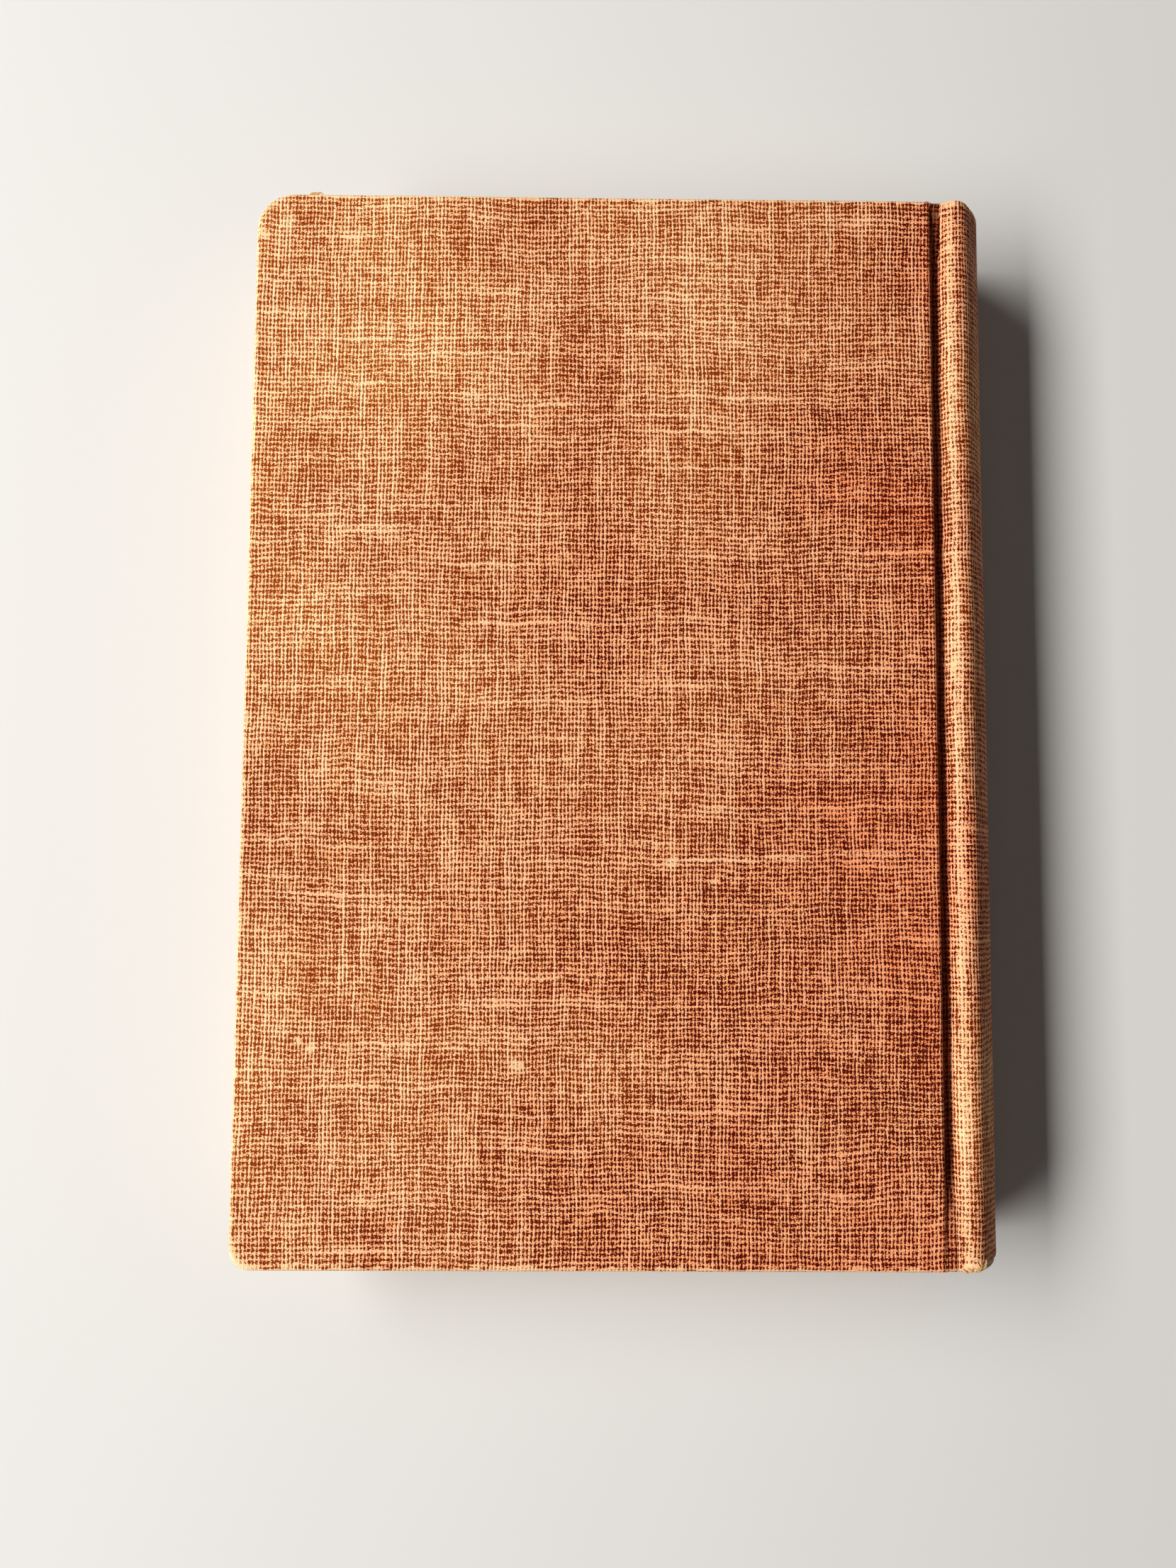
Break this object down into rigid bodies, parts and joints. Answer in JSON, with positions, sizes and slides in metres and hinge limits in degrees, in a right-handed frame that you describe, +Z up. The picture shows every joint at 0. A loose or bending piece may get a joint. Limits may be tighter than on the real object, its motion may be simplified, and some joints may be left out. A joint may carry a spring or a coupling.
{
  "type": "hardback book",
  "caption": "Cloth-bound hardback book with a rounded spine, grooved joints and covers that swing open on their cloth hinges.",
  "frame": {"origin": "under the middle of the closed book, on the plane that it lies on", "axes": "+Z up through the book's thickness, +X towards the spine, +Y towards the head"},
  "size_m": [0.1478, 0.21, 0.027],
  "materials": {
    "book_cloth": "natural-finish woven book cloth",
    "board": "grey-brown binder's board",
    "page_paper": "aged cream paper, trimmed edges",
    "end_paper": "plain cream endpaper",
    "mull": "open sized gauze",
    "kraft": "brown kraft paper",
    "spine_card": "thin flexible card",
    "band_thread": "wound thread"
  },
  "bodies": {
    "book_block": {"text_block": "page_paper", "back_flyleaf": "end_paper", "front_flyleaf": "end_paper", "spine_mull": "mull", "spine_lining": "kraft", "spine_inlay": "spine_card", "spine_cloth": "book_cloth", "head_band": "band_thread", "tail_band": "band_thread"},
    "back_cover": {"back_board": "board", "back_cloth": "book_cloth", "back_mull_flap": "mull", "back_pastedown": "end_paper"},
    "front_cover": {"front_board": "board", "front_cloth": "book_cloth", "front_mull_flap": "mull", "front_pastedown": "end_paper"}
  },
  "joints": [
    {"name": "back_cover_hinge", "type": "hinge", "parent": "book_block", "child": "back_cover", "pos_m": [0.06671, 0, 0.0245], "axis": [0, 1, 0], "range_deg": [0, 180]},
    {"name": "front_cover_hinge", "type": "hinge", "parent": "book_block", "child": "front_cover", "pos_m": [0.06671, 0, 0.0025], "axis": [0, -1, 0], "range_deg": [0, 180]}
  ]
}
